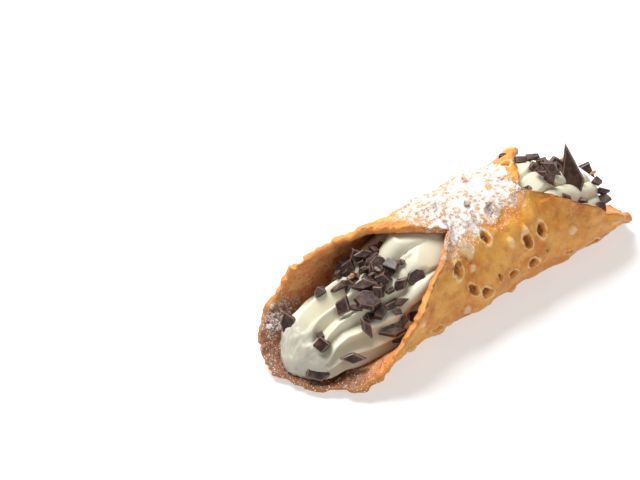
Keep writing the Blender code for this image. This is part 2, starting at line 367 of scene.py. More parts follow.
# %% [markdown]
# ## Blisters
# Dough blisters as it fries. Most large blisters on this crust have burst: an oval hole with a dark floor and
# a pale raised lip. Some stay closed as pale domes. They could be painted as bump, but their lips catch light
# and break the outline, so here they move the mesh. The ones that show most are placed one by one; the rest
# are scattered by trying random places and keeping those that stay clear of the others.

# %% Places of the blisters
# x mm, turn degrees, length mm, width mm, slant degrees, kind (H open, D closed dome)
PLACED_BLISTERS = [
    (1.5, 174, 3.2, 1.6, 20, "H"), (8.5, -166, 4.2, 2.4, -35, "H"), (14.0, -152, 6.0, 3.6, -45, "H"),
    (7.0, -133, 4.4, 3.0, 70, "H"), (-6.0, -120, 4.8, 3.4, 80, "H"), (20.5, -112, 5.0, 2.8, 75, "H"),
    (20.0, -123, 3.2, 2.6, 60, "D"), (27.0, -114, 4.6, 3.2, 80, "H"), (23.5, -84, 4.8, 2.8, 35, "H"),
    (15.0, -85, 4.4, 2.4, 35, "H"), (9.0, -92, 3.0, 1.8, 70, "H"), (-1.5, -95, 4.0, 2.2, 60, "H"),
    (4.0, -82, 7.0, 3.0, 45, "H"), (-14.0, -70, 4.6, 2.6, 25, "H"), (28.5, -92, 2.4, 2.0, 0, "H"),
    (50.5, -62, 9.0, 2.6, 18, "H"), (39.5, -70, 4.0, 1.4, 20, "H"), (24.5, -174, 3.4, 2.8, 40, "H"),
    (31.0, 172, 3.4, 2.6, 0, "H"), (-0.5, -131, 6.4, 4.6, 60, "D"), (14.5, -118, 4.0, 2.8, 70, "D"),
    (-3.0, -74, 4.4, 3.0, 60, "D"), (38.5, -98, 5.6, 3.6, 20, "D"), (-0.5, -115, 3.0, 2.6, 0, "D"),
    (-21.5, -92, 3.4, 2.6, 30, "D"), (-27.0, -74, 3.0, 2.0, 30, "H"), (-33.0, -52, 3.2, 2.4, 20, "D"),
]  # fmt: skip
SCATTERED_BLISTERS = 74
CLEAR_BETWEEN = 7.2 * MM
MOST_TRIES = 4000
OPEN_SHARE = 0.6

chance = random.Random(7)
blisters = []
for x, turn, length, width, slant, kind in PLACED_BLISTERS:
    blisters.append((x * MM, math.radians(turn), length * MM, width * MM, math.radians(slant), kind))


def clear_of_others(x, turn, gap):
    for other in blisters:
        around = math.remainder(turn - other[1], FULL_TURN) * OUTER_RADIUS
        if math.hypot(x - other[0], around) < gap:
            return False
    return True


wanted = len(blisters) + SCATTERED_BLISTERS
for _ in range(MOST_TRIES):
    if len(blisters) == wanted:
        break
    x = chance.uniform(FRONT_TIP_X, BACK_TIP_X)
    turn = chance.uniform(-math.pi, math.pi)
    length = chance.uniform(2.6, 6.2) * MM
    wide = length * chance.uniform(0.45, 0.85)
    kind = "H" if chance.random() < OPEN_SHARE else "D"
    on_seen_side = -140 < math.degrees(turn) < -60 and 0 < x < 45 * MM
    if clear_of_others(x, turn, CLEAR_BETWEEN) and not on_seen_side:
        blisters.append((x, turn, length, wide, chance.uniform(0, math.pi), kind))
print(len(blisters), "blisters, of which", sum(b[5] == "H" for b in blisters), "are open")


# %% Height and paint of the blisters at each point of the crust
LIP_HEIGHT = 0.42 * MM
SWELL_HEIGHT = 0.35 * MM


def blister_layers(x, turn, uneven):
    """Height in metres, and how much each point is hole floor, raised lip and closed dome, from 0 to 1."""
    height = np.zeros_like(x)
    floor_share = np.zeros_like(x)
    lip_share = np.zeros_like(x)
    dome_share = np.zeros_like(x)
    for centre_x, centre_turn, length, width, slant, kind in blisters:
        along = x - centre_x
        around = (np.mod(turn - centre_turn + math.pi, FULL_TURN) - math.pi) * OUTER_RADIUS
        u = (along * math.cos(slant) + around * math.sin(slant)) / (length / 2)
        v = (around * math.cos(slant) - along * math.sin(slant)) / (width / 2)
        near = np.abs(u) + np.abs(v) < 6
        far_out = np.hypot(u[near], v[near]) + 0.6 * uneven[near]
        if kind == "H":
            deep = (0.75 + 0.12 * length / MM) * MM
            inside = 1 - smooth(0.55, 0.98, far_out)
            lip = hump(far_out - 1.2, 0.23)
            swell = hump(far_out, 2.1)
            height[near] += LIP_HEIGHT * lip + SWELL_HEIGHT * swell * (1 - inside) - deep * inside
            floor_share[near] = np.maximum(floor_share[near], inside)
            lip_share[near] = np.maximum(lip_share[near], lip)
        else:
            dome = np.sqrt(np.clip(1 - far_out**2, 0, 1))
            height[near] += (0.45 + 0.16 * width / MM) * MM * dome
            dome_share[near] = np.maximum(dome_share[near], dome)
    return height, floor_share, lip_share, dome_share


# %% [markdown]
# ## The crust
# One closed grid: rows of points run round the outside from one mouth to the other, roll over the rim in a
# few rows, and come back along the inside. The line where the outer flap ends is a step in that grid, as on
# the real roll. Each point also stores what it is (hole, lip, dome, inside, edge), for the material to read.

# %% Build the crust
ROUND_STEPS = 300
OUTSIDE_ROWS = 190
INSIDE_ROWS = 64
RIM_ROWS = 4
RIM_THICK = 1.6 * MM
RIM_BULGE = 0.45 * MM
# The crust is pressed in from this far inside the solid model's sides, and gives at most this much more.
SIDE_SOFT = 0.8 * MM
SIDE_GIVE = 1.7 * MM
# A ring-shaped blister on the far wall inside the front mouth
RING_X = -21 * MM
RING_TURN = math.radians(101)
RING_RADIUS = 2.8 * MM
RING_WIDTH = 0.7 * MM
RING_HEIGHT = 0.8 * MM
EDGE_ARCS = np.array([0.0, 0.12, 0.28, 0.5, 0.8]) * MM / (FULL_TURN * OUTER_RADIUS)


def round_shares():
    """Shares of the way round, closer together just after the outer flap's free edge."""
    rest = np.linspace(1.2 * MM / (FULL_TURN * OUTER_RADIUS), 1.0, ROUND_STEPS - len(EDGE_ARCS))
    return np.concatenate([EDGE_ARCS, rest])


def crust_turn(round_share, along_share):
    bow = LAP_TURN * np.sqrt(np.clip(4 * along_share * (1 - along_share), 0, 1))
    pull = 1 - smooth(0.0, 0.3, np.minimum(round_share, 1 - round_share))
    return NOTCH_TURN + FULL_TURN * round_share - bow * pull


def crust_x(turn, along_share, bites):
    wrapped = np.where(turn >= NOTCH_TURN, turn, NOTCH_TURN + FULL_TURN)
    return mix(front_rim(wrapped) + bites, back_rim(wrapped) - bites, along_share)


def crust_grid(along):
    """Where a grid of points lies on the crust, and the noise and blisters there."""
    shares, rows = np.meshgrid(round_shares(), along)
    turn = crust_turn(shares, rows)
    # The noise is read off a plain tube, so it meets itself all the way round.
    ends = np.stack([np.where(rows < 0.5, 0.0, 1.0), np.sin(turn), np.cos(turn)], -1).reshape(-1, 3)
    bites = (0.9 * lumps(ends, 0.16, 1) + 0.7 * lumps(ends, 0.06, 2)).reshape(rows.shape) * MM
    x = crust_x(turn, rows, bites)
    place = np.stack([x, np.sin(turn) * OUTER_RADIUS, np.cos(turn) * OUTER_RADIUS], -1).reshape(-1, 3)
    grid = {"shares": shares, "rows": rows, "turn": turn, "x": x}
    for name, size, seed in (("large", 13, 3), ("middle", 5, 4), ("small", 1.7, 5), ("fine", 0.8, 6)):
        grid[name] = lumps(place, size * MM, seed).reshape(rows.shape)
    length = np.maximum(back_rim(turn) - front_rim(turn), 20 * MM)
    grid["from_rim"] = np.minimum(rows, 1 - rows) * length
    layers = blister_layers(x, turn, 0.45 * grid["middle"] + 0.55 * grid["small"])
    grid.update(zip(("height", "hole", "lip", "dome"), layers))
    return grid


def rim_curl(grid):
    """How far the crust bends outward at its rims: most, and in waves, along the front lip's near side."""
    near_front = hump(np.degrees(grid["turn"]) + 58, 48) * (grid["rows"] < 0.5)
    waves = 0.45 * np.sin(grid["turn"] * 13 + 1.0) + 0.9 * grid["middle"]
    reach = mix(3.5, 4.5, near_front) * MM
    return (0.4 + near_front * (1.9 + waves)) * MM * hump(grid["from_rim"], reach)


def outer_surface(grid):
    past = FULL_TURN * grid["shares"]
    edge_share = np.clip(past * OUTER_RADIUS / (0.7 * MM), 0, 1)
    edge_round = np.sqrt(np.clip(1 - (1 - edge_share) ** 2, 0, 1))
    lap = (LAP_STEP + 0.25 * MM * grid["middle"]) * (1 - smooth(0, LAP_FADE, past)) * mix(0.25, 1, edge_round)
    up_wall = smooth(0.0, 0.25, 1 - np.cos(grid["turn"]))
    relief = 1.5 * MM * grid["large"] + 0.9 * MM * grid["middle"] + 0.1 * MM * grid["fine"]
    relief += (0.3 + 0.5 * hump(grid["from_rim"], 3 * MM)) * MM * grid["small"]
    radius = OUTER_RADIUS + lap + up_wall * (relief + grid["height"] + rim_curl(grid))
    return tube_points(grid["x"], grid["turn"], radius, 0.0)


def inner_surface(grid):
    thin = mix(RIM_THICK, WALL, smooth(0, 5 * MM, grid["from_rim"]))
    relief = 0.5 * MM * grid["large"] * hump(grid["from_rim"], 8 * MM) + 0.35 * MM * grid["middle"]
    relief += (0.15 + 0.4 * hump(grid["from_rim"], 5 * MM)) * MM * grid["small"]
    from_ring = np.hypot(grid["x"] - RING_X, (grid["turn"] - RING_TURN) * (OUTER_RADIUS - WALL)) - RING_RADIUS
    radius = OUTER_RADIUS - thin + rim_curl(grid) + np.minimum(relief, 0.3 * MM)
    return tube_points(grid["x"], grid["turn"], radius - RING_HEIGHT * hump(from_ring, RING_WIDTH), WALL)


def rolled_rim(first, last, way):
    """Rows that roll over a rim from one surface's end to the other's, bulging a little past it."""
    rows = []
    for k in range(1, RIM_ROWS):
        row = mix(first, last, k / RIM_ROWS)
        row[:, 0] += way * RIM_BULGE * math.sin(math.pi * k / RIM_ROWS)
        rows.append(row)
    return np.array(rows)


def keep_within(points):
    """Softly presses in what would stand out past the sides of the solid model."""
    y = points[..., 1] - MIDDLE[1]
    for side, limit in ((1, cad_high[1]), (-1, -cad_low[1])):
        over = np.maximum(side * y - (limit - SIDE_SOFT), 0)
        y = y - side * (over - SIDE_GIVE * (1 - np.exp(-over / SIDE_GIVE)))
    points[..., 1] = y + MIDDLE[1]
    return points


def build_crust():
    """Points, faces and the stored shares of the crust."""
    outside = crust_grid(np.linspace(0, 1, OUTSIDE_ROWS))
    inner = crust_grid(np.linspace(0, 1, INSIDE_ROWS))
    outer_points = outer_surface(outside)
    inner_points = inner_surface(inner)
    back_roll = rolled_rim(outer_points[-1], inner_points[-1], 1)
    front_roll = rolled_rim(inner_points[0], outer_points[0], -1)
    points = keep_within(np.concatenate([outer_points, back_roll, inner_points[::-1], front_roll]))

    roll = np.zeros((RIM_ROWS - 1, ROUND_STEPS))
    plain = np.zeros_like(inner["x"])
    stored = {}
    for name in ("hole", "lip", "dome"):
        stored[name] = np.concatenate([outside[name], roll, plain, roll])
    roll_share = roll + np.linspace(0.15, 0.6, RIM_ROWS - 1)[:, None]
    stored["inside"] = np.concatenate([np.zeros_like(outside["x"]), roll_share, plain + 1, roll_share])
    outer_edge = hump(outside["from_rim"], 1.6 * MM)
    inner_edge = hump(inner["from_rim"], 2.0 * MM)[::-1]
    stored["edge"] = np.concatenate([outer_edge, roll + 1, inner_edge, roll + 1])
    ends = roll + outside["turn"][-1:], roll + outside["turn"][:1]
    turn = np.concatenate([outside["turn"], ends[0], inner["turn"][::-1], ends[1]])
    x = points[..., 0]
    from_lip = np.abs(np.degrees(turn) - 8)
    stored["outer_lip"] = smooth(30 * MM, 42 * MM, -x) * (1 - smooth(55, 85, from_lip))
    stored["sugar"] = sugar_amount(x, turn, stored["inside"])
    faces = grid_faces(len(points), ROUND_STEPS, ring=True)
    return points.reshape(-1, 3) - MIDDLE, faces, stored


# %% [markdown]
# ## Where the sugar lies
# Sugar was sieved over the middle of the tube, so it lies on what faces up, with one clean edge across the
# tube near the back mouth, and thins out down the wall. A little also fell on the front lip. This gives each
# point a share from 0 to 1, which the crust's material and the loose grains both use.


# %% Sugar share
def sugar_amount(x, turn, inside):
    degrees = np.degrees(np.mod(turn, FULL_TURN))  # 180 is the top of the tube, 270 its near side
    down_near = 1 - smooth(205, 238, degrees + 0.55 * (x / MM - 10))
    down_far = smooth(118, 150, degrees)
    sharp_line = 26.5 * MM - 0.10 * MM * (degrees - 206)
    before_line = 1 - smooth(-0.3 * MM, 0.3 * MM, x - sharp_line)
    top = down_near * down_far * before_line * smooth(-16 * MM, -4 * MM, x) * (1 - inside)
    front_far = hump(x + 44 * MM, 9 * MM) * hump(degrees - 62, 26) * inside
    front_lip = hump(x + 50 * MM, 9 * MM) * (1 - smooth(70, 95, np.abs(np.degrees(turn)))) * 0.4
    near_lip = hump(degrees - 318, 26) * (1 - smooth(-40 * MM, -26 * MM, x)) * 0.4
    return np.clip(np.maximum.reduce([top, 0.8 * front_far, front_lip, near_lip]), 0, 1)


# %% [markdown]
# ## The crust's finish
# Fried dough is matt to satin, mottled from pale gold to orange brown. The hole floors are painted darker, as
# painted shade in the hollows. Raised lips and domes are painted pale, as a painted highlight where they
# catch the light. The inside of the tube is its own red brown, painted lighter for the light that shines
# through the thin wall. Noise in several sizes breaks each colour up, and the stored shares steer it. Sugar
# is painted as a dust where it lies, under loose grains.

# %% Crust material
crust = Finish("crust", Roughness=0.5, Specular_IOR_Level=0.45)
mottle = crust.noise(9 * MM, detail=3.0, roughness=0.6)
patches = crust.noise(3.2 * MM, detail=4.0, roughness=0.6)
speck = crust.noise(0.9 * MM, detail=3.0, roughness=0.6)
grain = crust.noise(0.35 * MM, detail=2.0)
gold = crust.blend(crust.step(mottle, 0.35, 0.68), paint(244, 176, 78), paint(216, 130, 38))
gold = crust.blend(crust.step(patches, 0.5, 0.78) * 0.55, gold, paint(246, 190, 100))
gold = crust.blend(crust.step(patches, 0.5, 0.25) * 0.5, gold, paint(178, 92, 22))
gold = crust.blend(crust.step(speck, 0.55, 0.8) * 0.4, gold, paint(164, 88, 26))
# The inside of the tube: its own red brown, painted lighter as the light that shines through the thin wall.
inside_brown_lit = crust.blend(crust.step(patches, 0.35, 0.7), paint(236, 146, 92), paint(255, 190, 124))
lip_brown = crust.blend(crust.step(patches, 0.35, 0.7), paint(100, 54, 30), paint(142, 84, 50))
lip_brown = crust.blend(crust.step(speck, 0.52, 0.66) * 0.55, lip_brown, paint(214, 158, 104))
inner_brown = crust.blend(crust.attribute("outer_lip"), inside_brown_lit, lip_brown)
inner_brown = crust.blend(crust.step(speck, 0.5, 0.75) * 0.6, inner_brown, paint(112, 56, 28))
skin = crust.blend(crust.attribute("inside"), gold, inner_brown)
edge_brown = crust.blend(crust.attribute("outer_lip"), paint(222, 138, 62), paint(150, 92, 52))
skin = crust.blend(crust.attribute("edge") * 0.5, skin, edge_brown)
# Painted highlight: the closed domes are painted pale, where they catch the light.
dome_highlight = crust.step(crust.attribute("dome"), 0.05, 0.95)
skin = crust.blend(dome_highlight * 0.7, skin, paint(248, 214, 164))
# Painted highlight: the raised lips of the open blisters are painted pale, where they catch the light.
lip_highlight = crust.step(crust.attribute("lip") + (patches - 0.5) * 1.1, 0.35, 0.95)
skin = crust.blend(lip_highlight * 0.9, skin, paint(252, 218, 160))
# Painted shade: the floors of the open blisters are painted darker brown, as the shade in the hollow.
hole_floor_shade = crust.blend(crust.step(speck, 0.4, 0.7), paint(150, 82, 22), paint(196, 122, 48))
skin = crust.blend(crust.step(crust.attribute("hole"), 0.3, 0.75), skin, hole_floor_shade)
sugar_here = crust.attribute("sugar")
dust_noise = crust.noise(1.5 * MM, detail=5.0, roughness=0.72, distortion=0.4)
dust = crust.step(sugar_here + (dust_noise - 0.5) * 3.2 + (grain - 0.5) * 0.9, 0.54, 1.08)
skin = crust.blend(dust * 0.92, skin, paint(250, 245, 240))
crust.feed(Base_Color=skin, Roughness=crust.step(dust + patches * 0.4, 0.1, 1.0) * 0.42 + 0.3)
crust.bump(patches * 0.8 + speck * 0.6 + grain * 0.4 + dust * 0.5, 0.7 * MM, 0.8)

crust_points, crust_faces, crust_paint = build_crust()
shell = add_mesh("crust", crust_points, crust_faces, crust)
add_values(shell, **{name: values.reshape(-1) for name, values in crust_paint.items()})
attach(shell, "root")
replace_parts(shell, "shell")
print("crust:", count_triangles(shell), "triangles")

# %% [markdown]
# ## The cream
# The cream was piped through a star nozzle, so it is a rope of rounded lobes with sharp grooves between them.
# The lobes run along the rope at the lip and fold over towards the near wall by the notch. The rope is a grid
# of points round a centre line. The middle line of each lobe is given at a few places along the rope, and the
# height of a point depends on how far it lies between two of those lines.

# %% Cream functions
FIT_GAP = 0.25 * MM
CREAM_FRONT_X = -51.5 * MM
CREAM_BACK_X = 71 * MM
# Turn from the top of each lobe's middle line, in degrees and positive to the far side, at these places.
LOBE_PLACES = np.array([-52, -45, -42, -38, -32, -24, -17, -11, -4, 20, 45, 72]) * MM
LOBE_LINES = [
    [-108, -100, -104, -106, -110, -112, -112, -114, -118, -118, -100, -92],
    [-80, -84, -82, -80, -84, -86, -84, -86, -92, -90, -70, -62],
    [-58, -70, -60, -54, -58, -60, -54, -60, -64, -58, -42, -34],
    [-30, -46, -38, -32, -32, -34, -28, -33, -42, -30, -14, -6],
    [-4, -14, -10, -8, -6, -2, 4, 2, -10, 2, 16, 22],
    [30, 24, 28, 26, 26, 30, 38, 38, 28, 34, 46, 52],
    [66, 62, 64, 62, 62, 66, 70, 70, 62, 66, 76, 82],
    [104, 108, 108, 106, 106, 106, 106, 102, 96, 98, 106, 112],
    [140, 144, 146, 146, 144, 142, 138, 136, 132, 134, 140, 146],
    [180, 180, 180, 180, 180, 180, 176, 176, 172, 172, 176, 180],
    [218, 218, 218, 218, 218, 216, 214, 212, 208, 210, 216, 222],
]

# Where a lobe ends in a dome: x mm, turn (degrees), rise mm, half length mm, half width (degrees)
SWELLS = [(-9.5, 0, 2.6, 10, 24), (-6.5, -32, 2.4, 11, 14), (-13, -54, 1.8, 9, 13)]


def nose(distance, length, power):
    return np.sin(math.pi / 2 * np.clip(distance / length, 0, 1)) ** power


def cream_middle_z(x):
    front = 10 * MM * smooth(0, 44 * MM, -x) + 2.5 * MM * smooth(40 * MM, -CREAM_FRONT_X, -x)
    back = 8 * MM * smooth(34 * MM, 66 * MM, x) + 2.5 * MM * smooth(60 * MM, CREAM_BACK_X, x)
    return AXIS_HEIGHT - front - back + tip_lift(x)


def cream_middle_y(x):
    """The rope lies a little to the far side in the front mouth."""
    return 2.4 * MM * smooth(18 * MM, 42 * MM, -x)


def cream_radius(x):
    full = OUTER_RADIUS - 0.5 * WALL
    front = x - CREAM_FRONT_X
    back = CREAM_BACK_X - x
    front_radius = mix(9.4 * MM, full, np.clip(front / (44 * MM), 0, 1)) * nose(front, 10 * MM, 0.6)
    back_radius = mix(9 * MM, full, np.clip(back / (36 * MM), 0, 1)) * nose(back, 12 * MM, 0.65)
    return np.minimum(front_radius, back_radius)


def wall_reach(x, turn, middle_z):
    """How far the inside of the crust is from the rope's centre, in each direction across the tube."""
    flare = side_flare(x)
    radius = OUTER_RADIUS - WALL
    start_y = cream_middle_y(x) / flare
    start_z = middle_z - AXIS_HEIGHT - tip_lift(x)
    step_y = np.sin(turn) / flare
    step_z = np.cos(turn)
    a = step_y**2 + step_z**2
    b = start_y * step_y + start_z * step_z
    c = start_y**2 + start_z**2 - radius**2
    reach = (-b + np.sqrt(np.maximum(0, b * b - a * c))) / a
    floor_z = WALL + tip_lift(x)
    down = np.minimum(step_z, -1e-4)
    return np.where(step_z < -1e-3, np.minimum(reach, (middle_z - floor_z) / -down), reach)


def folded_share(x):
    return smooth(22 * MM, 32 * MM, -x)


def lobe_shape(x, turn):
    """1 on a lobe's middle line and 0 in the groove between two lobes, and how wide the lobe is in radians.

    Lobes are round by the notch and turn into folds with a crest and a wide valley along the front lip.
    """
    lines = np.radians([np.interp(x.reshape(-1), LOBE_PLACES, line) for line in LOBE_LINES])
    turned = np.mod(turn.reshape(-1) - lines[0], FULL_TURN) + lines[0]
    lines = np.concatenate([lines, lines[:1] + FULL_TURN])
    shape = np.zeros(len(turned))
    width = np.zeros(len(turned))
    folded = 0.75 * folded_share(x)
    for first, second in zip(lines, lines[1:]):
        here = (turned >= first) & (turned < second)
        share = (turned[here] - first[here]) / (second[here] - first[here])
        off = 2 * np.minimum(share, 1 - share)
        dome = np.sqrt(np.clip(1 - 0.985 * off**2, 0, 1))
        fold = np.clip(1.02 - np.sqrt(off**2 + 0.02), 0, 1) ** 1.7 / 0.81
        shape[here] = mix(dome, fold, folded.reshape(-1)[here])
        width[here] = second[here] - first[here]
    return shape.reshape(x.shape), width.reshape(x.shape)


def cream_points(x, turn):
    """The rope's surface. turn runs from its top, positive to the far side."""
    middle_z = cream_middle_z(x)
    radius = cream_radius(x)
    shape, width = lobe_shape(x, turn)
    near_lip = smooth(43 * MM, 48.5 * MM, -x)
    depth = (0.44 + 0.14 * folded_share(x)) * width * radius * (1 - near_lip)
    around = np.stack([x, np.sin(turn) * radius, np.cos(turn) * radius], -1).reshape(-1, 3)
    waves = lumps(around, 8 * MM, 11).reshape(x.shape) * 1.3 * MM
    rough = (lumps(around, 1.2 * MM, 12) + lumps(around, 3 * MM, 13)).reshape(x.shape) * 0.8 * MM * near_lip
    rope = radius - depth * (1 - shape) + 0.35 * MM * width + waves * nose(radius, 10 * MM, 1) + rough
    for swell_x, swell_turn, rise, length, spread in SWELLS:
        sideways = np.mod(turn - math.radians(swell_turn) + math.pi, FULL_TURN) - math.pi
        from_middle = np.hypot((x - swell_x * MM) / (length * MM), sideways / math.radians(spread))
        rope += rise * MM * np.sqrt(np.clip(1 - from_middle**2, 0, 1))
    reach = np.minimum(np.maximum(rope, 0.2 * MM), wall_reach(x, turn, middle_z) - FIT_GAP)
    return np.stack([x, cream_middle_y(x) + np.sin(turn) * reach, middle_z + np.cos(turn) * reach], -1)


# %% [markdown]
# ## Build the cream
# The rows stand closer together near both noses, where the rope curves most. A fan closes each end.

# %% Build the cream
CREAM_ROUND = 260
CREAM_ROWS = 210

cream = Finish("cream", Roughness=0.38, Specular_IOR_Level=0.45, Subsurface_Weight=0.25)
cream.shader.inputs["Subsurface Scale"].default_value = 1.5 * MM
cream_tone = cream.noise(6 * MM, detail=2.0)
cream_colour = cream.blend(cream_tone, paint(226, 222, 202), paint(216, 209, 182))
# Painted shade: the cream's front nose is painted greyer, as the shade on the slopes that face away from the
# light.
cream_colour = cream.blend(cream.attribute("smear") * 0.85, cream_colour, paint(192, 187, 172))
cream.feed(Base_Color=cream_colour)
cream.bump(cream.noise(0.6 * MM, detail=3.0), 0.08 * MM, 0.5)

row_shares = (1 - np.cos(np.pi * np.arange(1, CREAM_ROWS) / CREAM_ROWS)) / 2
row_shares = mix(row_shares, np.arange(1, CREAM_ROWS) / CREAM_ROWS, 0.55)
all_x = mix(CREAM_FRONT_X, CREAM_BACK_X, row_shares)
all_turns = np.arange(CREAM_ROUND) / CREAM_ROUND * FULL_TURN
cream_x, cream_turn = np.meshgrid(all_x, all_turns, indexing="ij")
rope_points = cream_points(cream_x, cream_turn).reshape(-1, 3)
rope_faces = grid_faces(CREAM_ROWS - 1, CREAM_ROUND).tolist()
for x, row in ((CREAM_FRONT_X, 0), (CREAM_BACK_X, CREAM_ROWS - 2)):
    tip = len(rope_points)
    rope_points = np.vstack([rope_points, [x, float(cream_middle_y(x)), float(cream_middle_z(x))]])
    for i in range(CREAM_ROUND):
        rope_faces.append([tip, row * CREAM_ROUND + i, row * CREAM_ROUND + (i + 1) % CREAM_ROUND])
rope = add_mesh("cream_rope", rope_points - MIDDLE, rope_faces, cream)
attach(rope, "root")
# Painted shade: this share marks the cream's front nose, which the material paints greyer.
add_values(rope, smear=smooth(41 * MM, 47 * MM, -rope_points[:, 0]))
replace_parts(rope, "cream")
print("cream:", count_triangles(rope), "triangles")

# %% [markdown]
# ## The chocolate
# The chocolate is a bar chopped with a knife: flat plates with a smooth skin on two sides and rough broken
# edges. The largest pieces are in the solid model. Each is copied here, its loose triangles are joined, cut
# finer and roughened. Smaller pieces are made the same way from a few numbers each.

# %% Chocolate material
chocolate = Finish("chocolate", Roughness=0.36, Specular_IOR_Level=0.5)
bloom = chocolate.noise(1.6 * MM, detail=4.0, roughness=0.65)
chip_grain = chocolate.noise(0.3 * MM, detail=3.0)
dark = chocolate.blend(chocolate.step(bloom, 0.4, 0.75), paint(46, 29, 24), paint(104, 76, 65))
# Painted highlight: the narrow faces along the edges are painted paler, as light caught on the edges.
dark = chocolate.blend(chocolate.attribute("edge_highlight") * 0.6, dark, paint(150, 116, 103))
chocolate.feed(Base_Color=dark, Roughness=bloom * 0.35 + 0.25)
chocolate.bump(bloom * 0.5 + chip_grain * 0.5, 0.15 * MM, 0.6)


# A face narrower than this is one of the thin ones that the bevel leaves along an edge.
NARROW = 0.28 * MM


def roughen(shape, amount, cuts=3):
    """Cuts each edge into smaller ones and moves the points a little, so that the flat sides look broken."""
    bmesh.ops.subdivide_edges(shape, edges=list(shape.edges), cuts=cuts, use_grid_fill=True)
    shape.normal_update()
    for vert in shape.verts:
        shift = noise.noise(vert.co * 900) + 0.6 * noise.noise(vert.co * 2300)
        vert.co += vert.normal * shift * amount


def mark_edge_highlight(shape):
    """Stores 1 on the narrow faces along broken edges, which get a painted highlight, and 0 on the rest."""
    edge_highlight = shape.faces.layers.float.new("edge_highlight")
    for face in shape.faces:
        longest = max(edge.calc_length() for edge in face.edges)
        face[edge_highlight] = float(face.calc_area() / longest < NARROW)


def add_shape(shape, name, finish):
    """Makes a drawn shape into a piece of the whole, with its finish, attached to the root body."""
    mesh = bpy.data.meshes.new(name)
    shape.to_mesh(mesh)
    shape.free()
    mesh.materials.append(finish.material)
    piece = bpy.data.objects.new(name, mesh)
    bpy.context.scene.collection.objects.link(piece)
    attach(piece, "root")
    return piece


for node in sorted(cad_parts):
    if node.startswith("chip_") or node == "shard":
        shape = bmesh.new()
        shape.from_mesh(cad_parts[node].data)
        bmesh.ops.remove_doubles(shape, verts=shape.verts, dist=0.01 * MM)
        mark_edge_highlight(shape)
        roughen(shape, 0.06 * MM)
        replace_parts(add_shape(shape, node + "_rough", chocolate), node)

# %% [markdown]
# ## Smaller chocolate pieces
# Each piece is a slab: an uneven outline of four or five corners, a little smaller on top, roughened like the
# large ones. Those that show most are placed one by one; the rest of the two heaps is drawn at random, denser
# in the middle and tossed every way, with a fixed seed.

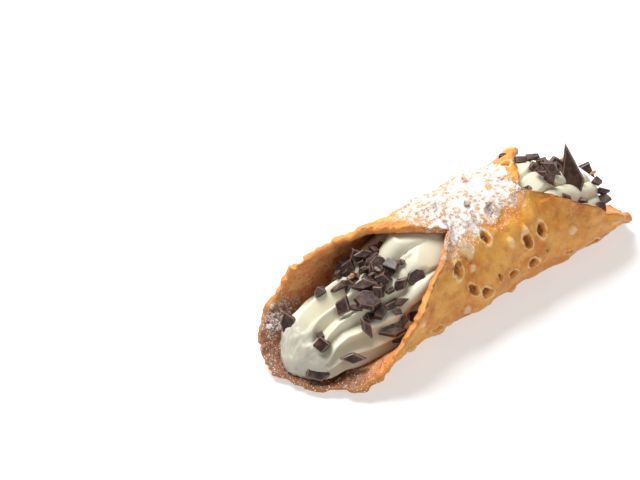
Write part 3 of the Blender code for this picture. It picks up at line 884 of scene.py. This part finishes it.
# %% Small pieces
# x mm, turn from the top (degrees), out mm, look round, look up, roll (degrees), length, width, thickness mm
PLACED_PIECES = [
    (-28.5, 40, 1.2, -60, 10, 65, 6.4, 3.4, 1.6), (-25, 27, 1.4, -50, 20, 60, 5.8, 3.4, 1.6),
    (-21, 25, 1.4, -30, 15, -15, 7.2, 4.2, 1.8), (-17, 23, 1.2, -45, 54, 25, 5.8, 2.6, 2.0),
    (-14.5, 25, 0.8, -41, 64, 0, 2.0, 1.4, 1.2), (-22.5, 13, 1.6, -40, 20, 70, 3.6, 2.6, 1.6),
    (-26, 5, 1.4, -41, 54, -50, 3.4, 1.0, 0.9), (-27, 9, 1.2, -41, 54, -35, 3.0, 1.2, 1.0),
    (-24.6, 1, 1.4, -20, 64, 20, 3.4, 2.4, 1.6), (-30, 20, 1.0, -41, 64, 32, 6.0, 1.9, 1.7),
    (-32.2, 33, 0.8, -41, 69, 35, 3.4, 1.8, 1.6), (-35.2, 25, 0.8, -50, 54, 40, 3.4, 2.4, 1.8),
    (-26.6, -8, 1.9, -20, 62, 6, 6.8, 2.8, 1.8), (-25.6, -30, 1.4, -60, 20, -60, 4.4, 3.0, 2.2),
    (-21, -15, 2.2, -30, 50, 25, 4.8, 3.2, 2.2), (-22.5, -24, 1.8, -55, 15, -20, 5.0, 3.6, 2.4),
    (-19, -21, 2.6, -70, 58, -30, 4.8, 3.8, 2.6), (-17, -21, 1.2, -41, 54, 15, 3.0, 1.6, 1.4),
    (-23.5, -34, 1.6, -41, 64, 30, 2.8, 2.2, 1.8), (-22.8, -50, 0.8, -50, 54, 15, 6.0, 2.4, 1.8),
    (-27, -52, 1.3, -30, 58, 5, 4.6, 3.4, 2.8), (-24.2, -57, 1.0, -41, 50, 0, 2.8, 1.8, 1.4),
    (-23.2, -66, 1.0, -75, 20, 85, 4.6, 2.0, 1.6), (-32.2, -29, 1.0, -41, 62, -4, 5.8, 1.8, 1.6),
    (-29.6, -48, 0.9, -20, 54, -50, 3.2, 2.4, 1.8), (-23.7, -97, 0.5, -41, 20, 15, 5.4, 2.0, 1.6),
    (-43, -33, 0.8, -41, 64, 20, 2.4, 2.0, 1.6), (-28, 12, 0.9, -70, 54, 60, 3.2, 2.4, 1.4),
    (-23, 38, 1.6, -60, 64, 20, 5.0, 3.0, 1.8), (-20, 8, 1.0, -20, 20, 40, 3.6, 2.4, 1.8),
    (42, 12, 1.0, -41, 64, 15, 6.0, 2.6, 1.6), (46, 11, 1.2, -60, 54, -20, 3.8, 2.6, 1.8),
    (39.8, -22, 0.8, -41, 54, -25, 5.2, 3.6, 1.6), (42.3, -49, 0.8, -41, 20, -30, 4.2, 2.8, 1.8),
    (51, -51, 0.8, -60, 54, 5, 4.0, 1.6, 1.6), (61, -34, 1.4, -41, 64, 0, 3.0, 2.4, 1.6),
    (63, -44, 1.4, -41, 54, 0, 4.2, 2.6, 1.8), (62.5, -60, 1.0, -60, 54, 20, 4.4, 3.4, 2.2),
    (58.5, -68, 1.0, -41, 54, -30, 4.4, 3.8, 2.4), (56, 13, 1.6, -30, 64, 30, 5.0, 3.0, 1.8),
    (30.3, -24, 0.8, -41, 54, 20, 3.4, 1.8, 1.4), (48, -2, 1.0, -20, 54, 60, 3.6, 2.6, 1.8),
    (46.5, -4, 1.8, -70, 54, 15, 5.0, 3.4, 1.6), (57, -8, 1.2, -41, 20, -60, 4.0, 2.4, 1.6),
    (55, -20, 1.0, -30, 54, 20, 3.6, 2.4, 1.6), (52, 6, 1.8, -41, 60, 30, 4.6, 3.2, 2.0),
]  # fmt: skip
PLACED_LONGER = 1.15
PLACED_WIDER = 1.2
# How many; x of the middle, spread, least and most, mm; turn of the middle and spread (degrees)
HEAPS = [(30, -24, 3.4, -36, -13, 2, 22), (16, 50, 6.0, 38, 68, 4, 14)]
HEAP_SEED = 21
FIRST_HEAP_PIECE = 100
LOOK_UPS = (0.2, 0.9, 1.2)
TAN_CRUMBS = [(61, -17, 2.6, 3.4), (55, 13, 3.0, 2.4), (41.5, -33, 1.0, 2.0), (-26.5, 6, 2.0, 2.0)]
FIRST_CRUMB = 60


def slab(shape, seed, length, width, thickness, place):
    """Adds one broken slab to a shape, with its outline drawn from the seed."""
    draw = random.Random(seed)
    corners = draw.choice((4, 4, 4, 5))
    turn_by = draw.uniform(0, FULL_TURN)
    outline = []
    for k in range(corners):
        angle = turn_by + FULL_TURN * (k + draw.uniform(-0.22, 0.22)) / corners
        reach = draw.uniform(0.78, 1.1) / 2
        outline.append((math.cos(angle) * reach * length, math.sin(angle) * reach * width))
    part = bmesh.new()
    low = [part.verts.new((x, y, -thickness / 2)) for x, y in outline]
    slant = [draw.uniform(0.78, 1.0) for _ in outline]
    high = []
    for (x, y), k in zip(outline, slant):
        high.append(part.verts.new((x * k, y * k, thickness / 2 * draw.uniform(0.7, 1.1))))
    part.faces.new(low)
    part.faces.new(high)
    for k in range(corners):
        after = (k + 1) % corners
        part.faces.new((low[k], low[after], high[after], high[k]))
    bmesh.ops.triangulate(part, faces=[face for face in part.faces if len(face.verts) > 4])
    bmesh.ops.recalc_face_normals(part, faces=part.faces)
    bmesh.ops.bevel(part, geom=list(part.edges), offset=0.15 * MM, segments=1, affect="EDGES")
    bmesh.ops.transform(part, matrix=place, verts=part.verts)
    mark_edge_highlight(part)
    roughen(part, 0.035 * MM, cuts=1)
    made = bpy.data.meshes.new("slab")
    part.to_mesh(made)
    part.free()
    shape.from_mesh(made)
    bpy.data.meshes.remove(made)


def cream_place(x, turn, out):
    """The point that far out of the cream, and the direction out."""
    step, swing = 0.5 * MM, 0.06
    near_x = np.array([x, x + step, x - step, x, x])
    near_turns = np.array([turn, turn, turn, turn + swing, turn - swing])
    here, ahead, behind, left, other = cream_points(near_x, near_turns)
    normal = Vector(ahead - behind).cross(Vector(left - other)).normalized()
    return Vector(here - MIDDLE) + normal * out, normal


def slab_place(x, turn, out, look_round, look_up, roll):
    middle, _ = cream_place(x, turn, out)
    level_right = Vector((math.cos(look_round), math.sin(look_round), 0))
    face = Vector((math.sin(look_round), -math.cos(look_round), 0)) * math.cos(look_up)
    face.z = math.sin(look_up)
    upward = face.cross(level_right)
    long_side = level_right * math.cos(roll) + upward * math.sin(roll)
    turned = Matrix((long_side, face.cross(long_side), face)).transposed().to_4x4()
    return Matrix.Translation(middle) @ turned


pile = bmesh.new()
pile.faces.layers.float.new("edge_highlight")
for i, (x, turn, out, look_round, look_up, roll, length, width, thick) in enumerate(PLACED_PIECES):
    angles = [math.radians(angle) for angle in (look_round, look_up, roll)]
    where = slab_place(x * MM, math.radians(turn), out * MM, *angles)
    slab(pile, i, PLACED_LONGER * length * MM, PLACED_WIDER * width * MM, thick * MM, where)
draw = random.Random(HEAP_SEED)
for count, middle_x, spread, least_x, most_x, middle_turn, spread_turn in HEAPS:
    for i in range(count):
        x = min(max(draw.gauss(middle_x, spread), least_x), most_x) * MM
        turn = math.radians(draw.gauss(middle_turn, spread_turn))
        look_round = draw.uniform(-1.6, 0.2)
        look_up = draw.choice(LOOK_UPS) + draw.uniform(-0.2, 0.2)
        roll = draw.uniform(-1.6, 1.6)
        where = slab_place(x, turn, draw.uniform(0.2, 2.6) * MM, look_round, look_up, roll)
        long_way = draw.uniform(2.8, 5.0) * MM
        sizes = (long_way, long_way * draw.uniform(0.5, 0.8), draw.uniform(1.0, 1.6) * MM)
        slab(pile, FIRST_HEAP_PIECE + i, *sizes, where)
small_chocolate = add_shape(pile, "small_chocolate", chocolate)
print("small chocolate:", count_triangles(small_chocolate), "triangles")

tan = Finish("tan", Base_Color=paint(198, 148, 88), Roughness=0.6)
crumbs = bmesh.new()
for i, (x, turn, out, length) in enumerate(TAN_CRUMBS):
    where = slab_place(x * MM, math.radians(turn), out * MM, -0.7, 0.6, 0.5)
    slab(crumbs, FIRST_CRUMB + i, length * MM, 1.6 * MM, 1.1 * MM, where)
add_shape(crumbs, "tan_crumbs", tan)

# %% [markdown]
# ## Loose sugar
# Powdered sugar clumps into grains that stand on the dust. They are scattered over the crust by Geometry
# Nodes, as many in each place as the stored sugar share says. The tree ends in real geometry, because
# instances would be lost on export, and the result is kept as a plain mesh.

# %% Scatter grains


def scatter_tree(name, shares, density, smallest, largest, seed, finish):
    """A node tree that covers a mesh with small clumps, by a stored share, and keeps only the clumps."""
    tree = bpy.data.node_groups.new(name, "GeometryNodeTree")
    tree.interface.new_socket("Geometry", in_out="INPUT", socket_type="NodeSocketGeometry")
    for label, value in (("Density", density), ("Smallest", smallest), ("Largest", largest)):
        socket = tree.interface.new_socket(label, in_out="INPUT", socket_type="NodeSocketFloat")
        socket.default_value = value
    tree.interface.new_socket("Geometry", in_out="OUTPUT", socket_type="NodeSocketGeometry")
    given = tree.nodes.new("NodeGroupInput").outputs
    share = tree.nodes.new("GeometryNodeInputNamedAttribute")
    share.inputs["Name"].default_value = shares
    clusters = tree.nodes.new("ShaderNodeTexNoise")
    clusters.inputs["Scale"].default_value = 1 / (1.6 * MM)
    clusters.inputs["Detail"].default_value = 3.0
    ragged = tree.nodes.new("ShaderNodeMapRange")
    ragged.inputs["From Min"].default_value = 0.45
    ragged.inputs["From Max"].default_value = 0.65
    patchy = tree.nodes.new("ShaderNodeMath")
    patchy.operation = "MULTIPLY"
    amount = tree.nodes.new("ShaderNodeMath")
    amount.operation = "MULTIPLY"
    points = tree.nodes.new("GeometryNodeDistributePointsOnFaces")
    points.inputs["Seed"].default_value = seed
    clump = tree.nodes.new("GeometryNodeMeshIcoSphere")
    clump.inputs["Radius"].default_value = 1.0
    clump.inputs["Subdivisions"].default_value = 1
    size = tree.nodes.new("FunctionNodeRandomValue")
    size.inputs["Seed"].default_value = seed + 1
    tumble = tree.nodes.new("FunctionNodeRandomValue")
    tumble.data_type = "FLOAT_VECTOR"
    tumble.inputs[1].default_value = (FULL_TURN, FULL_TURN, FULL_TURN)
    spread = tree.nodes.new("GeometryNodeInstanceOnPoints")
    real = tree.nodes.new("GeometryNodeRealizeInstances")
    coat = tree.nodes.new("GeometryNodeSetMaterial")
    coat.inputs["Material"].default_value = finish.material
    out = tree.nodes.new("NodeGroupOutput")
    links = (
        (clusters.outputs[0], ragged.inputs["Value"]),
        (share.outputs["Attribute"], patchy.inputs[0]),
        (ragged.outputs[0], patchy.inputs[1]),
        (patchy.outputs[0], amount.inputs[0]),
        (given["Density"], amount.inputs[1]),
        (given["Geometry"], points.inputs["Mesh"]),
        (amount.outputs[0], points.inputs["Density"]),
        (given["Smallest"], size.inputs[2]),
        (given["Largest"], size.inputs[3]),
        (points.outputs["Points"], spread.inputs["Points"]),
        (clump.outputs["Mesh"], spread.inputs["Instance"]),
        (tumble.outputs[0], spread.inputs["Rotation"]),
        (size.outputs[1], spread.inputs["Scale"]),
        (spread.outputs["Instances"], real.inputs["Geometry"]),
        (real.outputs["Geometry"], coat.inputs["Geometry"]),
        (coat.outputs["Geometry"], out.inputs["Geometry"]),
    )
    for start, end in links:
        tree.links.new(start, end)
    return tree


def scatter(name, base, tree):
    """Runs a node tree on a copy of a mesh and keeps the result as a plain mesh."""
    carrier = bpy.data.objects.new(name + "_carrier", base.data)
    bpy.context.scene.collection.objects.link(carrier)
    carrier.modifiers.new("scatter", "NODES").node_group = tree
    bpy.context.view_layer.update()
    done = carrier.evaluated_get(bpy.context.evaluated_depsgraph_get())
    mesh = bpy.data.meshes.new_from_object(done)
    bpy.data.objects.remove(carrier)
    piece = bpy.data.objects.new(name, mesh)
    bpy.context.scene.collection.objects.link(piece)
    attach(piece, "root")
    print(name, count_triangles(piece), "triangles")


sugar = Finish("sugar", Base_Color=paint(252, 250, 248), Roughness=0.75, Specular_IOR_Level=0.3)
sugar_tree = scatter_tree("scatter_sugar", "sugar", 7.0e6, 0.06 * MM, 0.17 * MM, 5, sugar)
scatter("sugar_grains", shell, sugar_tree)

# %% [markdown]
# ## Finish
# The box of the solid model and the box of what was built round it are measured and kept side by side. The
# finished pieces must not make the cannolo larger.

# %% Finish
visual_low, visual_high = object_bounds()
sizes = {"cad": [list(cad_low), list(cad_high)], "visual": [list(visual_low), list(visual_high)]}
